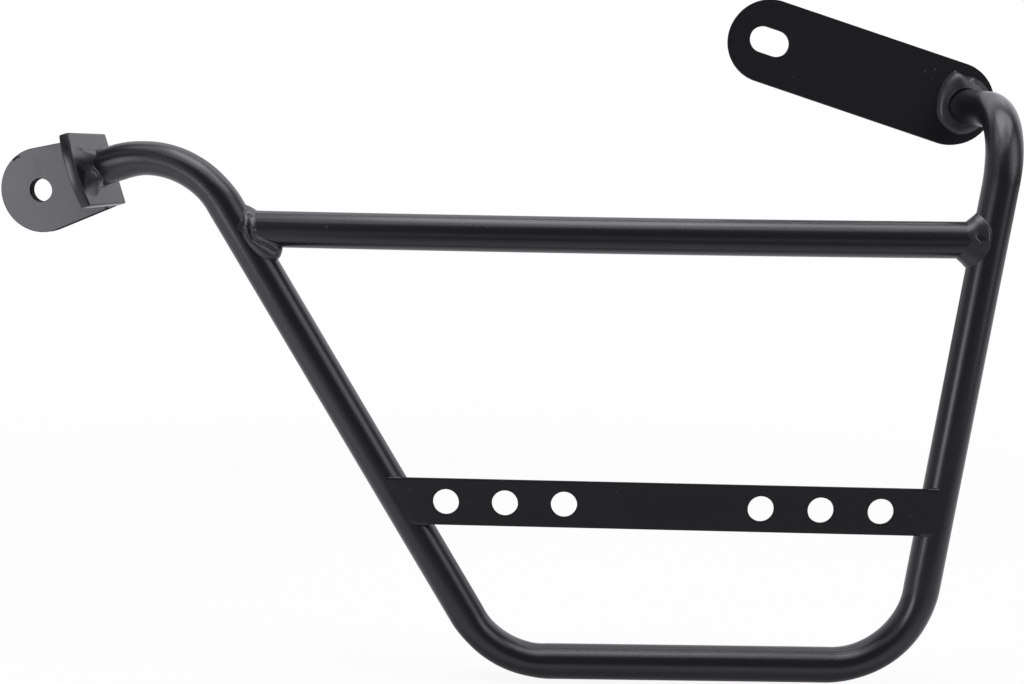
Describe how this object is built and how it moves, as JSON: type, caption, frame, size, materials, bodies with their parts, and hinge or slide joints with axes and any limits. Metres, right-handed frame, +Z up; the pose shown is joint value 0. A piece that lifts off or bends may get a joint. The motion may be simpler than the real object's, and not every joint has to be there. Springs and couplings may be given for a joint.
{
  "type": "pannier frame",
  "caption": "Welded tube frame that bolts to the side of a motorbike and stands a saddle bag off the wheel, with a drilled crossbar.",
  "frame": {"origin": "centre of the mounting hole in the lug, on the face of the lug that sits against the bike", "axes": "+X runs along the frame from the lug to the leg, +Z is up as the frame hangs on the bike, and +Y points at the bike"},
  "size_m": [0.46, 0.0876, 0.3096],
  "materials": {
    "frame_paint": "satin black powder coat on steel",
    "weld_paint": "satin black powder coat over weld beads"
  },
  "bodies": {
    "root": {"main_tube": "frame_paint", "cross_tube": "frame_paint", "bag_strap": "frame_paint", "top_plate": "frame_paint", "flange_plate": "frame_paint", "lug_plate": "frame_paint", "weld_flange": "weld_paint", "weld_lug": "weld_paint", "weld_top_plate": "weld_paint", "weld_cross_left": "weld_paint", "weld_cross_right": "weld_paint", "weld_strap_left": "weld_paint", "weld_strap_right": "weld_paint"}
  },
  "joints": []
}
